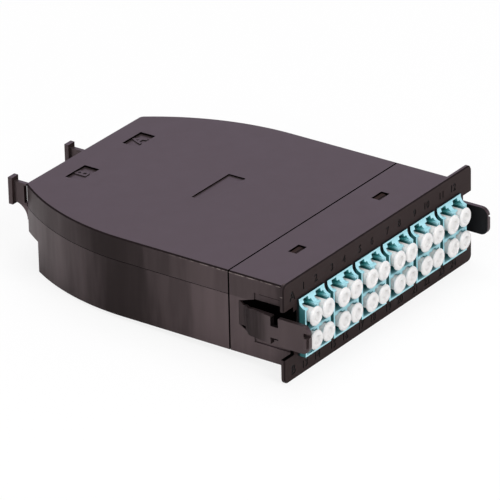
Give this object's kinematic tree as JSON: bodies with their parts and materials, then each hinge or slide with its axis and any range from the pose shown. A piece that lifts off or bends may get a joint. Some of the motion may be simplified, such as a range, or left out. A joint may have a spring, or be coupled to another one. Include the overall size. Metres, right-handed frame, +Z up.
{
  "type": "fibre cassette",
  "caption": "Flat black fibre cassette with quad LC adapters in its front plate, capped ports, side latches that squeeze in, and trunk ports and tie hooks at the rear.",
  "frame": {"origin": "middle of the front plate's width, on its front face, level with the underside of the housing", "axes": "+X to the right across the plate, seen from the front; +Y back into the housing, so ports open to -Y; +Z up"},
  "size_m": [0.0986, 0.1226, 0.032],
  "materials": {
    "housing_black": "fine satin grain",
    "adapter_aqua": "satin",
    "cap_grey": "soft, slightly translucent",
    "plug_aqua": "satin",
    "mpo_black": "satin",
    "mpo_cap_black": "satin",
    "fibre_aqua": "smooth"
  },
  "bodies": {
    "housing": {"front_frame": "housing_black", "base_shell": "housing_black", "top_cover": "housing_black", "lc_adapter_1": "adapter_aqua", "lc_adapter_2": "adapter_aqua", "lc_adapter_3": "adapter_aqua", "lc_adapter_4": "adapter_aqua", "lc_adapter_5": "adapter_aqua", "lc_adapter_6": "adapter_aqua", "lc_plugs_1": "plug_aqua", "lc_plugs_2": "plug_aqua", "lc_plugs_3": "plug_aqua", "lc_plugs_4": "plug_aqua", "lc_plugs_5": "plug_aqua", "lc_plugs_6": "plug_aqua", "mpo_adapter_a": "mpo_black", "mpo_connector_a": "plug_aqua", "fan_out_a": "mpo_black", "fibre_harness_a": "fibre_aqua", "mpo_adapter_b": "mpo_black", "mpo_connector_b": "plug_aqua", "fan_out_b": "mpo_black", "fibre_harness_b": "fibre_aqua"},
    "left_latch_body": {"left_latch": "housing_black"},
    "right_latch_body": {"right_latch": "housing_black"},
    "dust_cap_01_body": {"dust_cap_01": "cap_grey"},
    "dust_cap_02_body": {"dust_cap_02": "cap_grey"},
    "dust_cap_03_body": {"dust_cap_03": "cap_grey"},
    "dust_cap_04_body": {"dust_cap_04": "cap_grey"},
    "dust_cap_05_body": {"dust_cap_05": "cap_grey"},
    "dust_cap_06_body": {"dust_cap_06": "cap_grey"},
    "dust_cap_07_body": {"dust_cap_07": "cap_grey"},
    "dust_cap_08_body": {"dust_cap_08": "cap_grey"},
    "dust_cap_09_body": {"dust_cap_09": "cap_grey"},
    "dust_cap_10_body": {"dust_cap_10": "cap_grey"},
    "dust_cap_11_body": {"dust_cap_11": "cap_grey"},
    "dust_cap_12_body": {"dust_cap_12": "cap_grey"},
    "dust_cap_13_body": {"dust_cap_13": "cap_grey"},
    "dust_cap_14_body": {"dust_cap_14": "cap_grey"},
    "dust_cap_15_body": {"dust_cap_15": "cap_grey"},
    "dust_cap_16_body": {"dust_cap_16": "cap_grey"},
    "dust_cap_17_body": {"dust_cap_17": "cap_grey"},
    "dust_cap_18_body": {"dust_cap_18": "cap_grey"},
    "dust_cap_19_body": {"dust_cap_19": "cap_grey"},
    "dust_cap_20_body": {"dust_cap_20": "cap_grey"},
    "dust_cap_21_body": {"dust_cap_21": "cap_grey"},
    "dust_cap_22_body": {"dust_cap_22": "cap_grey"},
    "dust_cap_23_body": {"dust_cap_23": "cap_grey"},
    "dust_cap_24_body": {"dust_cap_24": "cap_grey"},
    "mpo_cap_a_body": {"mpo_cap_a": "mpo_cap_black"},
    "mpo_cap_b_body": {"mpo_cap_b": "mpo_cap_black"}
  },
  "joints": [
    {"name": "left_latch_squeeze", "type": "hinge", "parent": "housing", "child": "left_latch_body", "pos_m": [-0.0436, 0.0194, 0.01315], "axis": [0, 0, 1], "range_deg": [0, 5], "stiffness_Nm_per_rad": 0.4},
    {"name": "right_latch_squeeze", "type": "hinge", "parent": "housing", "child": "right_latch_body", "pos_m": [0.0436, 0.0194, 0.01315], "axis": [0, 0, -1], "range_deg": [0, 5], "stiffness_Nm_per_rad": 0.4},
    {"name": "dust_cap_01_pull", "type": "slide", "parent": "housing", "child": "dust_cap_01_body", "axis": [0, -1, 0], "range_m": [0, 0.012]},
    {"name": "dust_cap_02_pull", "type": "slide", "parent": "housing", "child": "dust_cap_02_body", "axis": [0, -1, 0], "range_m": [0, 0.012]},
    {"name": "dust_cap_03_pull", "type": "slide", "parent": "housing", "child": "dust_cap_03_body", "axis": [0, -1, 0], "range_m": [0, 0.012]},
    {"name": "dust_cap_04_pull", "type": "slide", "parent": "housing", "child": "dust_cap_04_body", "axis": [0, -1, 0], "range_m": [0, 0.012]},
    {"name": "dust_cap_05_pull", "type": "slide", "parent": "housing", "child": "dust_cap_05_body", "axis": [0, -1, 0], "range_m": [0, 0.012]},
    {"name": "dust_cap_06_pull", "type": "slide", "parent": "housing", "child": "dust_cap_06_body", "axis": [0, -1, 0], "range_m": [0, 0.012]},
    {"name": "dust_cap_07_pull", "type": "slide", "parent": "housing", "child": "dust_cap_07_body", "axis": [0, -1, 0], "range_m": [0, 0.012]},
    {"name": "dust_cap_08_pull", "type": "slide", "parent": "housing", "child": "dust_cap_08_body", "axis": [0, -1, 0], "range_m": [0, 0.012]},
    {"name": "dust_cap_09_pull", "type": "slide", "parent": "housing", "child": "dust_cap_09_body", "axis": [0, -1, 0], "range_m": [0, 0.012]},
    {"name": "dust_cap_10_pull", "type": "slide", "parent": "housing", "child": "dust_cap_10_body", "axis": [0, -1, 0], "range_m": [0, 0.012]},
    {"name": "dust_cap_11_pull", "type": "slide", "parent": "housing", "child": "dust_cap_11_body", "axis": [0, -1, 0], "range_m": [0, 0.012]},
    {"name": "dust_cap_12_pull", "type": "slide", "parent": "housing", "child": "dust_cap_12_body", "axis": [0, -1, 0], "range_m": [0, 0.012]},
    {"name": "dust_cap_13_pull", "type": "slide", "parent": "housing", "child": "dust_cap_13_body", "axis": [0, -1, 0], "range_m": [0, 0.012]},
    {"name": "dust_cap_14_pull", "type": "slide", "parent": "housing", "child": "dust_cap_14_body", "axis": [0, -1, 0], "range_m": [0, 0.012]},
    {"name": "dust_cap_15_pull", "type": "slide", "parent": "housing", "child": "dust_cap_15_body", "axis": [0, -1, 0], "range_m": [0, 0.012]},
    {"name": "dust_cap_16_pull", "type": "slide", "parent": "housing", "child": "dust_cap_16_body", "axis": [0, -1, 0], "range_m": [0, 0.012]},
    {"name": "dust_cap_17_pull", "type": "slide", "parent": "housing", "child": "dust_cap_17_body", "axis": [0, -1, 0], "range_m": [0, 0.012]},
    {"name": "dust_cap_18_pull", "type": "slide", "parent": "housing", "child": "dust_cap_18_body", "axis": [0, -1, 0], "range_m": [0, 0.012]},
    {"name": "dust_cap_19_pull", "type": "slide", "parent": "housing", "child": "dust_cap_19_body", "axis": [0, -1, 0], "range_m": [0, 0.012]},
    {"name": "dust_cap_20_pull", "type": "slide", "parent": "housing", "child": "dust_cap_20_body", "axis": [0, -1, 0], "range_m": [0, 0.012]},
    {"name": "dust_cap_21_pull", "type": "slide", "parent": "housing", "child": "dust_cap_21_body", "axis": [0, -1, 0], "range_m": [0, 0.012]},
    {"name": "dust_cap_22_pull", "type": "slide", "parent": "housing", "child": "dust_cap_22_body", "axis": [0, -1, 0], "range_m": [0, 0.012]},
    {"name": "dust_cap_23_pull", "type": "slide", "parent": "housing", "child": "dust_cap_23_body", "axis": [0, -1, 0], "range_m": [0, 0.012]},
    {"name": "dust_cap_24_pull", "type": "slide", "parent": "housing", "child": "dust_cap_24_body", "axis": [0, -1, 0], "range_m": [0, 0.012]},
    {"name": "mpo_cap_a_pull", "type": "slide", "parent": "housing", "child": "mpo_cap_a_body", "axis": [0, 1, 0], "range_m": [0, 0.009]},
    {"name": "mpo_cap_b_pull", "type": "slide", "parent": "housing", "child": "mpo_cap_b_body", "axis": [0, 1, 0], "range_m": [0, 0.009]}
  ]
}
